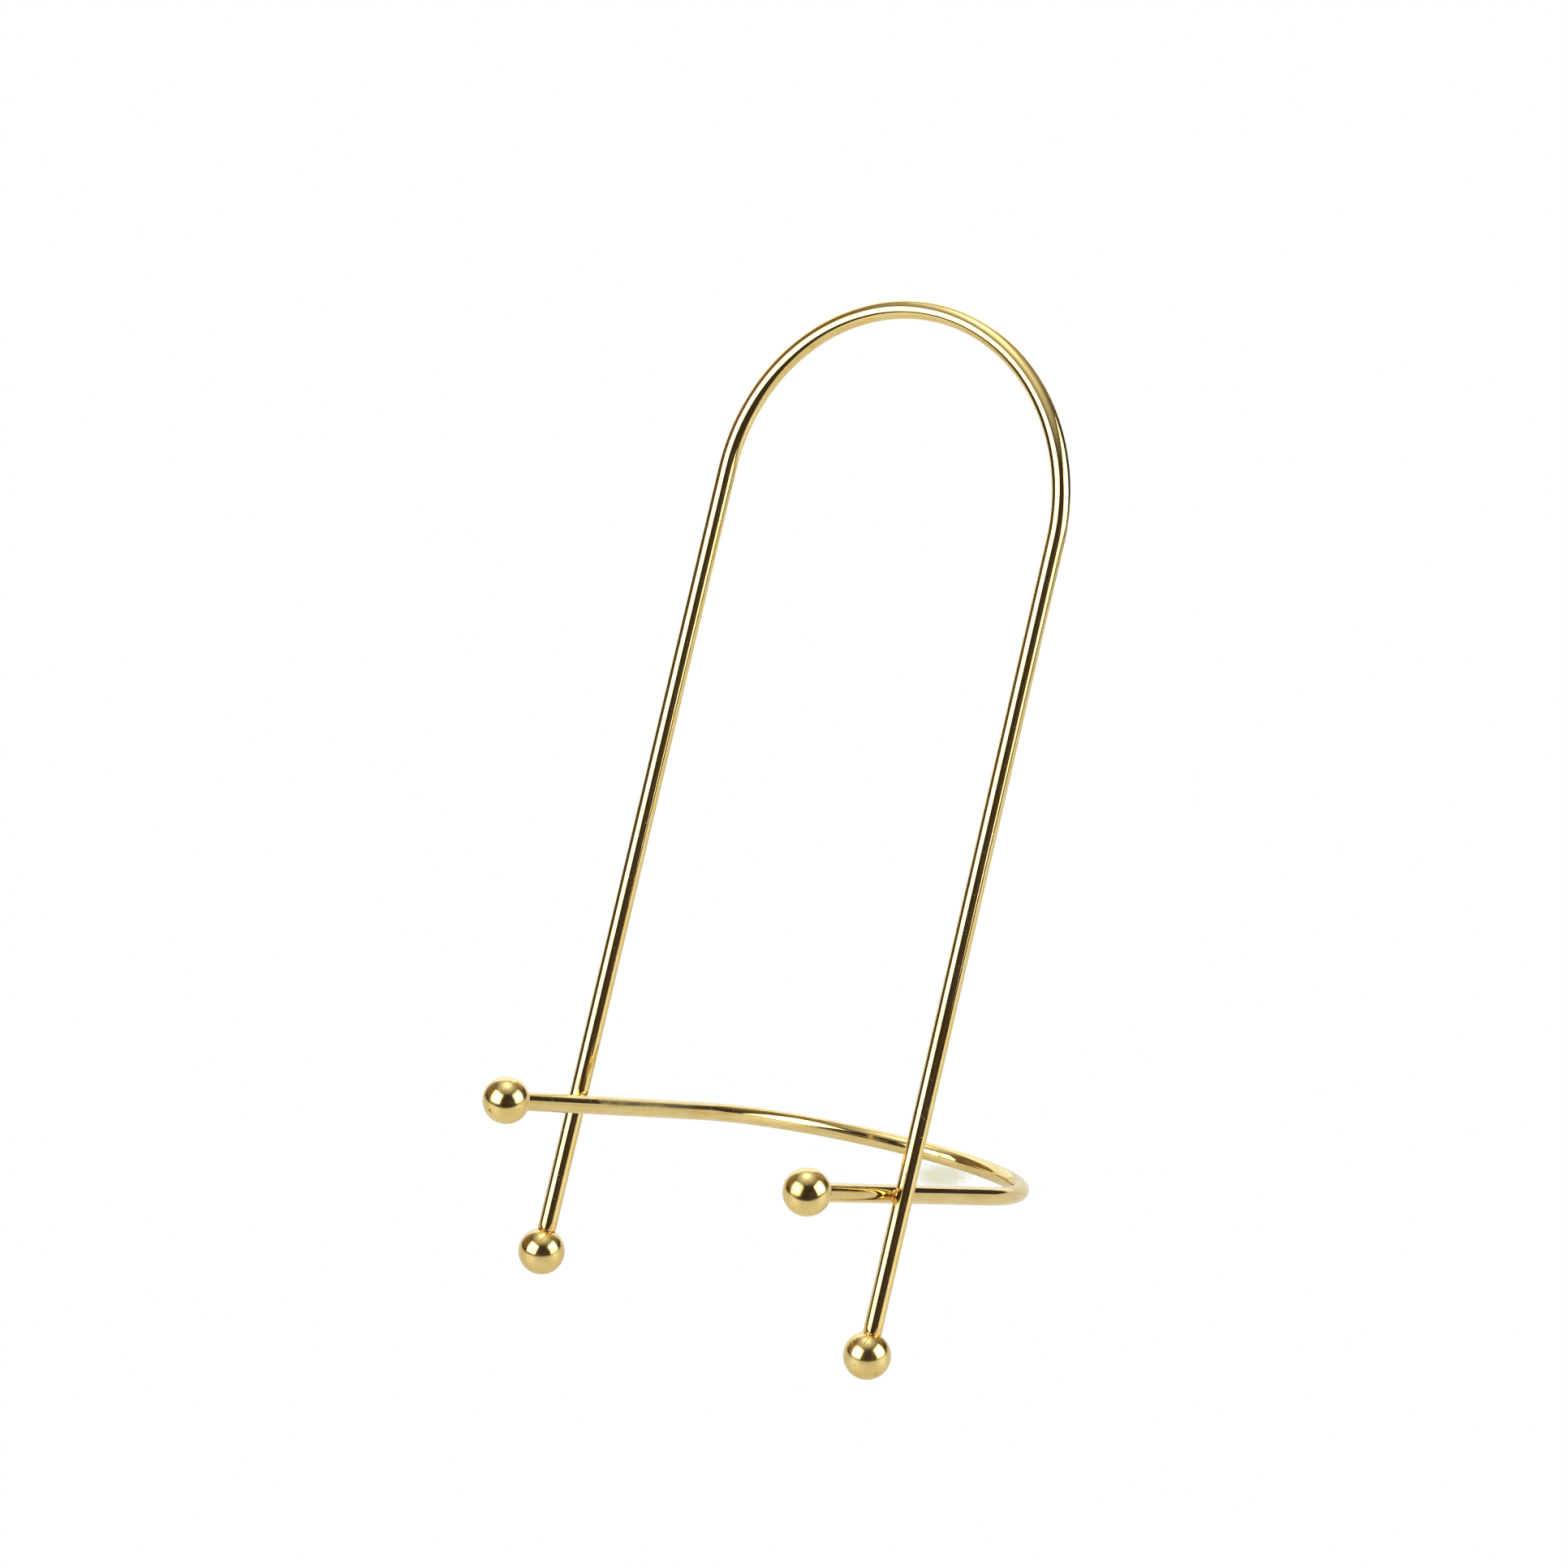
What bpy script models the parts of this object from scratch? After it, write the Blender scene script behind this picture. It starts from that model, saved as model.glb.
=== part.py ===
"""Display easel for a plate or a book, bent from round rod with ball ends.

Metres. +Z is up, +X runs across the easel, and -Y is its front, where the ledge is.
The origin is on the table, under the middle of the easel's box.

The upright is an inverted U that leans back on two foot balls. The base is a second U
that passes inside the upright's legs and is welded to them: its two prongs stick out
in front as the ledge, and its loop slopes down to the table behind.
"""
import math

import bmesh
import bpy
from mathutils import Matrix, Vector

MM = 0.001

# Stock, and the gap left between pieces that touch
ROD_RADIUS = 2.5 * MM
BALL_RADIUS = 6.35 * MM
CLEARANCE = 0.3 * MM

# Upright, in a plane that leans back from the vertical
LEAN = math.radians(23.4)
LEG_LENGTH = 219.9 * MM  # foot ball's centre to the start of the arch
LEG_SPLAY = math.radians(0.28)  # each leg runs outwards to its foot
ARCH_RADIUS = 52.8 * MM

# Base, in a plane that slopes down to the table; lengths run back from the crossing
CROSSING = 42.5 * MM  # up the upright's plane, from the foot balls' centres
PRONG_LENGTH = 40.7 * MM  # forwards, to the ledge balls' centres
LOOP_CENTRE = 53.2 * MM
LOOP_DEPTH = 58.7 * MM  # the loop is half an ellipse
BASE_SPLAY = math.radians(0.74)  # the sides run apart towards the ledge balls

# Small flats where the easel stands on the table
FOOT_FLAT_RADIUS = 1.2 * MM
LOOP_FLAT_DEPTH = 0.1 * MM

# Rod ends: a chamfered shoulder with a spigot that is brazed into the ball's bore
SHOULDER = 7.1 * MM  # above the ball's centre, as are the next two
SPIGOT_TIP = 1.6 * MM
BORE_BOTTOM = SPIGOT_TIP - CLEARANCE
SPIGOT_RADIUS = 1.4 * MM
CHAMFER = 0.3 * MM
STEP_LENGTH = 0.02 * MM  # the shoulder's face is this far from square
BRAZE_OUTER_RADIUS = 2.3 * MM

# Weld bead around each crossing, as half lengths across and along the rods
WELD_ACROSS = 2.2 * MM
WELD_ALONG = 3.3 * MM

# Facets
ROD_BEVEL_RESOLUTION = 6
BEND_STEPS = 32
BALL_SEGMENTS = 32
BALL_RINGS = 16
RING_SEGMENTS = 24
SMOOTH_ANGLE = math.radians(30)

# Polished plate on the rods and balls, a little dulled on the welds, and bare braze
ROD_COLOUR = (0.83, 0.62, 0.27)
BALL_COLOUR = (0.85, 0.64, 0.29)
WELD_COLOUR = (0.78, 0.52, 0.20)
BRAZE_COLOUR = (0.66, 0.33, 0.13)
POLISHED = 0.10
DULLED = 0.28

# Worked out from the sizes above
ACROSS = Vector((1.0, 0.0, 0.0))
UP = Vector((0.0, math.sin(LEAN), math.cos(LEAN)))
FOOT_HEIGHT = math.sqrt(BALL_RADIUS ** 2 - FOOT_FLAT_RADIUS ** 2)
LOOP_HEIGHT = ROD_RADIUS - LOOP_FLAT_DEPTH
CROSSING_HEIGHT = FOOT_HEIGHT + CROSSING * UP.z
BASE_SLOPE = math.asin((CROSSING_HEIGHT - LOOP_HEIGHT) / (LOOP_CENTRE + LOOP_DEPTH))
BACK = Vector((0.0, math.cos(BASE_SLOPE), -math.sin(BASE_SLOPE)))

# How far the easel reaches in front of and behind the foot balls, which sets their place
FRONT_REACH = PRONG_LENGTH * BACK.y + BALL_RADIUS - CROSSING * UP.y
REAR_REACH = (LOOP_CENTRE + LOOP_DEPTH) * BACK.y + ROD_RADIUS + CROSSING * UP.y
FOOT_LINE = Vector((0.0, (FRONT_REACH - REAR_REACH) / 2, FOOT_HEIGHT))
CROSSING_LINE = FOOT_LINE + UP * CROSSING

# Half widths between rod centres
ARCH_START = LEG_LENGTH * math.cos(LEG_SPLAY)
ARCH_CENTRE = ARCH_START - ARCH_RADIUS * math.sin(LEG_SPLAY)
FOOT_HALF_WIDTH = ARCH_RADIUS * math.cos(LEG_SPLAY) + LEG_LENGTH * math.sin(LEG_SPLAY)
LEG_HALF_WIDTH = FOOT_HALF_WIDTH - CROSSING * math.tan(LEG_SPLAY)  # at the crossing
BASE_HALF_WIDTH = LEG_HALF_WIDTH - 2 * ROD_RADIUS - CLEARANCE  # at the crossing
PRONG_HALF_WIDTH = BASE_HALF_WIDTH + PRONG_LENGTH * math.tan(BASE_SPLAY)
WELD_HALF_WIDTH = (LEG_HALF_WIDTH + BASE_HALF_WIDTH) / 2

SIDES = {"left": -1, "right": 1}


def upright_point(across, up):
    """A point of the upright's plane, measured from between the foot balls' centres."""
    return FOOT_LINE + ACROSS * across + UP * up


def base_point(across, back):
    """A point of the base's plane, measured from between the crossings."""
    return CROSSING_LINE + ACROSS * across + BACK * back


def leg_direction(side):
    """From the foot ball on one side towards the arch."""
    return UP * math.cos(LEG_SPLAY) - ACROSS * side * math.sin(LEG_SPLAY)


def prong_direction(side):
    """From the ledge ball on one side towards the loop."""
    return BACK * math.cos(BASE_SPLAY) - ACROSS * side * math.sin(BASE_SPLAY)


def foot_centre(side):
    return upright_point(side * FOOT_HALF_WIDTH, 0.0)


def ledge_centre(side):
    return base_point(side * PRONG_HALF_WIDTH, -PRONG_LENGTH)


def arch_points():
    """The arch from the left leg to the right one."""
    points = []
    for step in range(BEND_STEPS + 1):
        angle = math.pi - LEG_SPLAY - (math.pi - 2 * LEG_SPLAY) * step / BEND_STEPS
        across = ARCH_RADIUS * math.cos(angle)
        points.append(upright_point(across, ARCH_CENTRE + ARCH_RADIUS * math.sin(angle)))
    return points


def loop_points():
    """Half an ellipse from the left side to the right one, which both run into smoothly."""
    spread = math.tan(BASE_SPLAY)
    meeting = BASE_HALF_WIDTH - LOOP_CENTRE * spread
    half_width = math.sqrt(meeting ** 2 - (LOOP_DEPTH * spread) ** 2)
    start = math.asin(LOOP_DEPTH * spread / meeting)
    points = []
    for step in range(BEND_STEPS + 1):
        angle = math.pi - start - (math.pi - 2 * start) * step / BEND_STEPS
        across = half_width * math.cos(angle)
        points.append(base_point(across, LOOP_CENTRE + LOOP_DEPTH * math.sin(angle)))
    return points


def metal(name, colour, roughness):
    """A Principled metal of one colour."""
    material = bpy.data.materials.new(name)
    material.use_nodes = True
    shader = material.node_tree.nodes["Principled BSDF"]
    shader.inputs["Base Color"].default_value = (*colour, 1.0)
    shader.inputs["Roughness"].default_value = roughness
    shader.inputs["Metallic"].default_value = 1.0
    return material


def add_piece(name, bm, colour, roughness):
    """Make a smooth-shaded object of a finished mesh."""
    bmesh.ops.recalc_face_normals(bm, faces=bm.faces)
    mesh = bpy.data.meshes.new(name)
    bm.to_mesh(mesh)
    bm.free()
    mesh.shade_smooth()
    mesh.set_sharp_from_angle(angle=SMOOTH_ANGLE)
    mesh.materials.append(metal(name + "_metal", colour, roughness))
    piece = bpy.data.objects.new(name, mesh)
    bpy.context.collection.objects.link(piece)
    return piece


def axis_matrix(place, direction):
    """Local +Z along a direction and local +X as near across the easel as can be."""
    third = direction.normalized()
    second = third.cross(ACROSS).normalized()
    first = second.cross(third)
    rotation = Matrix((first, second, third)).transposed()
    return Matrix.Translation(place) @ rotation.to_4x4()


def add_cutter(name, start, end, radius):
    """A round bar that a Boolean takes away."""
    bm = bmesh.new()
    middle = axis_matrix((start + end) / 2, end - start)
    length = (end - start).length
    bmesh.ops.create_cone(
        bm, cap_ends=True, segments=RING_SEGMENTS, radius1=radius, radius2=radius,
        depth=length, matrix=middle,
    )
    mesh = bpy.data.meshes.new(name)
    bm.to_mesh(mesh)
    bm.free()
    cutter = bpy.data.objects.new(name, mesh)
    bpy.context.collection.objects.link(cutter)
    cutter.hide_render = True
    cutter.display_type = "WIRE"
    return cutter


def cut_away(piece, cutter):
    """Subtract a cutter from a piece."""
    cut = piece.modifiers.new(cutter.name, "BOOLEAN")
    cut.operation = "DIFFERENCE"
    cut.solver = "EXACT"
    cut.object = cutter


def flatten_below(bm, level):
    """Take off what lies below a level, and close the cut with one flat face."""
    whole = bm.verts[:] + bm.edges[:] + bm.faces[:]
    bmesh.ops.bisect_plane(
        bm, geom=whole, plane_co=(0.0, 0.0, level), plane_no=(0.0, 0.0, 1.0), clear_inner=True
    )
    rim = [edge for edge in bm.edges if edge.is_boundary]
    bmesh.ops.holes_fill(bm, edges=rim, sides=len(rim))


def end_stations(centre, direction):
    """A rod's end at a ball, tip first: each point with its share of the rod's radius."""
    spigot = SPIGOT_RADIUS / ROD_RADIUS
    shoulder = 1.0 - CHAMFER / ROD_RADIUS
    heights = (
        (SPIGOT_TIP, spigot),
        (SHOULDER - STEP_LENGTH, spigot),
        (SHOULDER, shoulder),
        (SHOULDER + CHAMFER, 1.0),
    )
    return [(centre + direction * height, share) for height, share in heights]


def rod_mesh(left_end, bend, right_end):
    """One bent rod: both ends' stations, and a bend of full-size rod between them."""
    stations = left_end + [(point, 1.0) for point in bend] + right_end[::-1]
    curve = bpy.data.curves.new("rod", "CURVE")
    curve.dimensions = "3D"
    curve.bevel_depth = ROD_RADIUS
    curve.bevel_resolution = ROD_BEVEL_RESOLUTION
    curve.use_fill_caps = True
    spline = curve.splines.new("POLY")
    spline.points.add(len(stations) - 1)
    for knot, (point, share) in zip(spline.points, stations):
        knot.co = (*point, 1.0)
        knot.radius = share
    path = bpy.data.objects.new("rod", curve)
    bm = bmesh.new()
    bm.from_mesh(path.to_mesh())
    bpy.data.objects.remove(path)
    bmesh.ops.remove_doubles(bm, verts=bm.verts, dist=STEP_LENGTH / 100)
    return bm


def add_upright():
    ends = [end_stations(foot_centre(side), leg_direction(side)) for side in SIDES.values()]
    bm = rod_mesh(ends[0], arch_points(), ends[1])
    add_piece("upright_rod", bm, ROD_COLOUR, POLISHED)


def add_base():
    """The base rod, with the flat that the loop stands on."""
    ends = [end_stations(ledge_centre(side), prong_direction(side)) for side in SIDES.values()]
    bm = rod_mesh(ends[0], loop_points(), ends[1])
    flatten_below(bm, 0.0)
    add_piece("base_rod", bm, ROD_COLOUR, POLISHED)


def add_ball(name, centre, direction, stands):
    """A ball with a blind bore for the rod's spigot; a foot ball also has a flat."""
    bm = bmesh.new()
    bmesh.ops.create_uvsphere(
        bm, u_segments=BALL_SEGMENTS, v_segments=BALL_RINGS, radius=BALL_RADIUS
    )
    if stands:
        flatten_below(bm, -FOOT_HEIGHT)
    bmesh.ops.translate(bm, verts=bm.verts, vec=centre)
    piece = add_piece(name, bm, BALL_COLOUR, POLISHED)
    start = centre + direction * BORE_BOTTOM
    end = centre + direction * (BALL_RADIUS + CLEARANCE)
    cut_away(piece, add_cutter(name + "_bore", start, end, SPIGOT_RADIUS + CLEARANCE))


def add_braze(name, centre, direction):
    """The ring of braze between the rod's shoulder and the ball, around the spigot."""
    inner = SPIGOT_RADIUS + CLEARANCE
    reach = BALL_RADIUS + CLEARANCE
    top = SHOULDER - STEP_LENGTH - CLEARANCE
    outline = (
        (inner, math.sqrt(reach ** 2 - inner ** 2)),
        (BRAZE_OUTER_RADIUS, math.sqrt(reach ** 2 - BRAZE_OUTER_RADIUS ** 2)),
        (BRAZE_OUTER_RADIUS, top),
        (inner, top),
    )
    bm = bmesh.new()
    corners = [bm.verts.new((radius, 0.0, height)) for radius, height in outline]
    section = bm.faces.new(corners)
    rim = corners + section.edges[:]
    bmesh.ops.delete(bm, geom=[section], context="FACES_ONLY")
    bmesh.ops.spin(
        bm, geom=rim, axis=(0.0, 0.0, 1.0), cent=(0.0, 0.0, 0.0), angle=2 * math.pi,
        steps=RING_SEGMENTS, use_merge=True,
    )
    bmesh.ops.transform(bm, matrix=axis_matrix(centre, direction), verts=bm.verts)
    add_piece(name, bm, BRAZE_COLOUR, DULLED)


def add_weld(name, side):
    """The bead around a crossing: an ellipsoid that both rods pass through."""
    centre = base_point(side * WELD_HALF_WIDTH, 0.0)
    half_lengths = Matrix.Diagonal((WELD_ACROSS, WELD_ALONG, WELD_ALONG, 1.0))
    bm = bmesh.new()
    bmesh.ops.create_uvsphere(
        bm, u_segments=RING_SEGMENTS, v_segments=BALL_RINGS, radius=1.0,
        matrix=axis_matrix(centre, UP) @ half_lengths,
    )
    piece = add_piece(name, bm, WELD_COLOUR, DULLED)
    crossing = (
        ("leg", upright_point(side * LEG_HALF_WIDTH, CROSSING), leg_direction(side)),
        ("side", base_point(side * BASE_HALF_WIDTH, 0.0), prong_direction(side)),
    )
    for part, middle, direction in crossing:
        reach = direction * 2 * WELD_ALONG
        room = add_cutter(
            name + "_" + part, middle - reach, middle + reach, ROD_RADIUS + CLEARANCE
        )
        cut_away(piece, room)


def main():
    for old in list(bpy.data.objects):
        bpy.data.objects.remove(old, do_unlink=True)
    add_upright()
    add_base()
    for word, side in SIDES.items():
        add_ball("foot_ball_" + word, foot_centre(side), leg_direction(side), True)
        add_ball("ledge_ball_" + word, ledge_centre(side), prong_direction(side), False)
        add_braze("foot_braze_" + word, foot_centre(side), leg_direction(side))
        add_braze("ledge_braze_" + word, ledge_centre(side), prong_direction(side))
        add_weld("crossing_weld_" + word, side)


main()
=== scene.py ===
"""Looks of the display easel: polished gold-coloured plate on two bent rods with ball ends.

Metres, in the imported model's frame: +Z is up, +X runs across the easel, -Y is its front.
Every CAD node is replaced by a finer mesh in the same place. A small studio stands around
the easel, because polished metal shows little but what it mirrors.
"""
import math

import bmesh
import bpy
from mathutils import Matrix, Vector, noise


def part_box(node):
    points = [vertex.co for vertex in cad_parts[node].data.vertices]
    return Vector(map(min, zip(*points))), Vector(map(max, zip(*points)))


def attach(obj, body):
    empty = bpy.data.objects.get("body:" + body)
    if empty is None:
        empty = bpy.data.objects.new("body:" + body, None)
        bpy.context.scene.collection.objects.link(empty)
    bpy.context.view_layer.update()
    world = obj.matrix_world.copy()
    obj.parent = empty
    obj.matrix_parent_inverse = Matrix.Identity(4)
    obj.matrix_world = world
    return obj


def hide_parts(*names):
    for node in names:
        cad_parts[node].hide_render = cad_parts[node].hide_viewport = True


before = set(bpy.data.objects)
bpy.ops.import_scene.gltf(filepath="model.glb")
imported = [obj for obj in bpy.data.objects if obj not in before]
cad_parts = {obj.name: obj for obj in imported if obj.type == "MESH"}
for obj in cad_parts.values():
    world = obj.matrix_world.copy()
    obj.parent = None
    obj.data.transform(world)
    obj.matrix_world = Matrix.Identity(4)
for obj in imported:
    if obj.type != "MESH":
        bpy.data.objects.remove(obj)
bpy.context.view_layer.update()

MM = 0.001

# Stock and bends, as in the CAD
ROD_RADIUS = 2.5 * MM
LEG_SPLAY = math.radians(0.28)
ARCH_RADIUS = 52.8 * MM
LOOP_DEPTH = 58.7 * MM
BASE_SPLAY = math.radians(0.74)

# A rod's end in its ball: distances from the ball's centre, radii, and the slight slope of the
# shoulder's face down to the spigot
SHOULDER = 6.05 * MM
SHOULDER_SLOPE = 0.01 * MM
ROD_CHAMFER = 0.22 * MM
SPIGOT_TIP = 1.6 * MM
SPIGOT_RADIUS = 1.4 * MM
BORE_RADIUS = 1.7 * MM
BORE_BOTTOM = 1.3 * MM
MOUTH_EDGE = 0.12 * MM

# The ring of braze in the crevice between rod and ball, and how it swells and wanders
BRAZE_RING_RADIUS = 2.12 * MM
BRAZE_BEAD_RADIUS = 0.24 * MM
BRAZE_SWELL = 0.35
BRAZE_SWELL_RATE = 1.6
BRAZE_RIPPLE = 0.25
BRAZE_RIPPLE_RATE = 5.0
BRAZE_WANDER = 0.10 * MM

# The weld metal at a crossing: how far it reaches, how widely it fills, how uneven that is, how
# deep it lies under the rods' skin, and how wide its lumps are
WELD_REACH = 2.8 * MM
WELD_FILL = 2.3 * MM
WELD_UNEVENNESS = 0.4
WELD_SINK = 0.03 * MM
WELD_RIPPLE = 2.0 * MM

# Height of the loop's centre line above the table where it rests, so that it has a flat there
LOOP_REST_HEIGHT = 2.4 * MM

# How fine the meshes are
ROD_SIDES = 64
BEND_STEPS = 160
BALL_SEGMENTS = 96
BALL_STEPS = 72
RING_SEGMENTS = 144
RING_SIDES = 14
WELD_CELL = 0.1 * MM
WELD_SMOOTHING = 2
CHAMFER_STEPS = 4
STRAIGHT_SPACING = 2.0 * MM
SHARP_ANGLE = math.radians(50)

ACROSS = Vector((1.0, 0.0, 0.0))
SIDES = {"left": -1, "right": 1}


def middle(node):
    low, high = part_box(node)
    return (low + high) / 2


def ball_radius(node):
    low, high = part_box(node)
    return (high.x - low.x) / 2


def foot_centre(word):
    """A foot ball's middle, from its top down, because its flat makes its box shorter."""
    centre = middle("foot_ball_" + word)
    centre.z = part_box("foot_ball_" + word)[1].z - BALL_RADIUS
    return centre


BALL_RADIUS = ball_radius("ledge_ball_right")
LEDGE_CENTRES = {word: middle("ledge_ball_" + word) for word in SIDES}
FOOT_CENTRES = {word: foot_centre(word) for word in SIDES}

# The upright's plane, from between the foot balls' centres to the top of the arch
FOOT_LINE = (FOOT_CENTRES["left"] + FOOT_CENTRES["right"]) / 2
UPRIGHT_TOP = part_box("upright_rod")[1]
ARCH_TOP = Vector((0.0, UPRIGHT_TOP.y - ROD_RADIUS, UPRIGHT_TOP.z - ROD_RADIUS))
UP = (ARCH_TOP - FOOT_LINE).normalized()
ARCH_CENTRE = (ARCH_TOP - FOOT_LINE).length - ARCH_RADIUS

# The base's plane, from between the ledge balls' centres to the back of the loop
LEDGE_LINE = (LEDGE_CENTRES["left"] + LEDGE_CENTRES["right"]) / 2
LOOP_REAR = Vector((0.0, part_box("base_rod")[1].y - ROD_RADIUS, LOOP_REST_HEIGHT))
BACK = (LOOP_REAR - LEDGE_LINE).normalized()
LOOP_CENTRE = (LOOP_REAR - LEDGE_LINE).length - LOOP_DEPTH
PRONG_HALF_WIDTH = LEDGE_CENTRES["right"].x


def upright_point(across, up):
    return FOOT_LINE + ACROSS * across + UP * up


def base_point(across, back):
    return LEDGE_LINE + ACROSS * across + BACK * back


def leg_direction(side):
    """From the foot ball on one side towards the arch."""
    return UP * math.cos(LEG_SPLAY) - ACROSS * side * math.sin(LEG_SPLAY)


def prong_direction(side):
    """From the ledge ball on one side towards the loop."""
    return BACK * math.cos(BASE_SPLAY) - ACROSS * side * math.sin(BASE_SPLAY)


def arch_points():
    """The arch's centre line from the left leg to the right one."""
    points = []
    for step in range(BEND_STEPS + 1):
        angle = math.pi - LEG_SPLAY - (math.pi - 2 * LEG_SPLAY) * step / BEND_STEPS
        across = ARCH_RADIUS * math.cos(angle)
        points.append(upright_point(across, ARCH_CENTRE + ARCH_RADIUS * math.sin(angle)))
    return points


def loop_points():
    """Half an ellipse from the left side to the right one, which both run into smoothly."""
    spread = math.tan(BASE_SPLAY)
    meeting = PRONG_HALF_WIDTH - LOOP_CENTRE * spread
    half_width = math.sqrt(meeting ** 2 - (LOOP_DEPTH * spread) ** 2)
    start = math.asin(LOOP_DEPTH * spread / meeting)
    points = []
    for step in range(BEND_STEPS + 1):
        angle = math.pi - start - (math.pi - 2 * start) * step / BEND_STEPS
        across = half_width * math.cos(angle)
        points.append(base_point(across, LOOP_CENTRE + LOOP_DEPTH * math.sin(angle)))
    return points


def axis_matrix(place, direction):
    """Local +Z along a direction and local +X as near across the easel as can be."""
    third = direction.normalized()
    second = third.cross(ACROSS).normalized()
    first = second.cross(third)
    rotation = Matrix((first, second, third)).transposed()
    return Matrix.Translation(place) @ rotation.to_4x4()


def add_piece(name, bm, material):
    """A smooth piece that rides on the easel and stands for the CAD node of its name."""
    bmesh.ops.recalc_face_normals(bm, faces=bm.faces)
    mesh = bpy.data.meshes.new(name + "_fine")
    bm.to_mesh(mesh)
    bm.free()
    mesh.shade_smooth()
    mesh.set_sharp_from_angle(angle=SHARP_ANGLE)
    mesh.materials.append(material)
    piece = bpy.data.objects.new(name + "_fine", mesh)
    bpy.context.collection.objects.link(piece)
    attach(piece, "root")
    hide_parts(name)
    return piece


# ---------------------------------------------------------------- meshes


def end_stations(centre, direction):
    """A rod's end at a ball, tip first: points with the rod's radius there."""
    stations = [
        (centre + direction * SPIGOT_TIP, SPIGOT_RADIUS),
        (centre + direction * (SHOULDER - SHOULDER_SLOPE), SPIGOT_RADIUS),
    ]
    for step in range(CHAMFER_STEPS + 1):
        turn = math.radians(90) * step / CHAMFER_STEPS
        height = SHOULDER + ROD_CHAMFER * (1 - math.cos(turn))
        radius = ROD_RADIUS - ROD_CHAMFER * (1 - math.sin(turn))
        stations.append((centre + direction * height, radius))
    return stations


def straight(start, end):
    """Points between two ends of a straight run, without the ends."""
    count = max(2, round((end - start).length / STRAIGHT_SPACING))
    return [start.lerp(end, step / count) for step in range(1, count)]


def add_rod(name, ends, bend, plane_normal, material, floor=None):
    """Sweep a rod along its centre line, cap its spigots and flatten it where it meets a floor."""
    left = straight(ends[0][-1][0], bend[0])
    right = straight(bend[-1], ends[1][-1][0])
    line = [(point, ROD_RADIUS) for point in left + bend + right]
    stations = ends[0] + line + ends[1][::-1]
    bm = bmesh.new()
    layer = bm.verts.layers.float_vector.new("along_rod")
    rings = []
    run = 0.0
    for index, (point, radius) in enumerate(stations):
        before = stations[max(index - 1, 0)][0]
        after = stations[min(index + 1, len(stations) - 1)][0]
        run += (point - before).length
        inward = (after - before).normalized().cross(plane_normal)
        ring = []
        for side in range(ROD_SIDES):
            angle = 2 * math.pi * side / ROD_SIDES
            offset = plane_normal * math.cos(angle) + inward * math.sin(angle)
            place = point + offset * radius
            if floor is not None:
                place.z = max(place.z, floor)
            vert = bm.verts.new(place)
            vert[layer] = (radius * math.cos(angle), radius * math.sin(angle), run)
            ring.append(vert)
        rings.append(ring)
    for lower, upper in zip(rings, rings[1:]):
        for side in range(ROD_SIDES):
            after = (side + 1) % ROD_SIDES
            bm.faces.new((lower[side], lower[after], upper[after], upper[side]))
    bm.faces.new(rings[0][::-1])
    bm.faces.new(rings[-1])
    return add_piece(name, bm, material)


def turned(outline, segments, matrix):
    """A closed solid of revolution about local +Z: the outline starts and ends on the axis."""
    bm = bmesh.new()
    first = bm.verts.new((0.0, 0.0, outline[0][1]))
    last = bm.verts.new((0.0, 0.0, outline[-1][1]))
    rings = []
    for radius, height in outline[1:-1]:
        ring = []
        for segment in range(segments):
            angle = 2 * math.pi * segment / segments
            ring.append(bm.verts.new((radius * math.cos(angle), radius * math.sin(angle), height)))
        rings.append(ring)
    for segment in range(segments):
        after = (segment + 1) % segments
        bm.faces.new((first, rings[0][segment], rings[0][after]))
        for inner, outer in zip(rings, rings[1:]):
            bm.faces.new((inner[segment], outer[segment], outer[after], inner[after]))
        bm.faces.new((rings[-1][segment], last, rings[-1][after]))
    bmesh.ops.transform(bm, matrix=matrix, verts=bm.verts)
    return bm


def add_ball(name, centre, direction, material, floor=None):
    """A ball turned about its rod's line, with a bore, its softened mouth and a flat on a floor."""
    mouth = math.asin((BORE_RADIUS + MOUTH_EDGE) / BALL_RADIUS)
    outline = [
        (0.0, BORE_BOTTOM),
        (BORE_RADIUS, BORE_BOTTOM),
        (BORE_RADIUS, BALL_RADIUS * math.cos(mouth) - MOUTH_EDGE),
    ]
    for step in range(BALL_STEPS):
        angle = mouth + (math.pi - mouth) * step / BALL_STEPS
        outline.append((BALL_RADIUS * math.sin(angle), BALL_RADIUS * math.cos(angle)))
    outline.append((0.0, -BALL_RADIUS))
    bm = turned(outline, BALL_SEGMENTS, axis_matrix(centre, direction))
    if floor is not None:
        for vert in bm.verts:
            vert.co.z = max(vert.co.z, floor)
    return add_piece(name, bm, material)


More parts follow.
